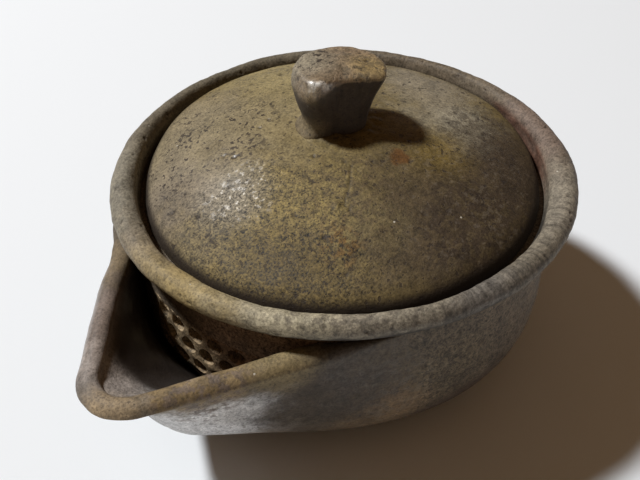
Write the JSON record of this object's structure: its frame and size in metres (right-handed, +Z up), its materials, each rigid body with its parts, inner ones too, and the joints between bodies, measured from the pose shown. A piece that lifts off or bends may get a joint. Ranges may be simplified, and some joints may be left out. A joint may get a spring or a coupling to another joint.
{
  "type": "handleless teapot",
  "caption": "Low round handleless stoneware teapot with a rolled rim, an open wedge spout over a pierced strainer wall, and a domed lift-off lid with a pinched oval knob.",
  "frame": {"origin": "centre of the flat base, on the bowl's axis, at the level of the surface it stands on", "axes": "+Z up along the bowl's axis, +X along the spout towards its tip"},
  "size_m": [0.1185, 0.095, 0.0655],
  "materials": {
    "bowl": "unglazed wood-fired stoneware, dark grey-brown with ash",
    "rim": "unglazed wood-fired stoneware, pale ash over brown",
    "seat": "unglazed stoneware, bare reddish brown",
    "strainer": "unglazed stoneware, bare tan brown",
    "spout": "unglazed wood-fired stoneware, golden brown lip",
    "lid": "unglazed wood-fired stoneware, olive ash with dark specks",
    "flange": "unglazed stoneware, bare reddish brown",
    "knob": "unglazed wood-fired stoneware, tan ash with dark pits"
  },
  "bodies": {
    "pot": {"bowl": "bowl", "rim_roll": "rim", "lid_seat": "seat", "strainer_panel": "strainer", "spout": "spout"},
    "lid": {"lid": "lid", "lid_flange": "flange", "lid_knob": "knob"}
  },
  "joints": [
    {"name": "lid_lift", "type": "slide", "parent": "pot", "child": "lid", "axis": [0, 0, 1], "range_m": [0, 0.06]}
  ]
}
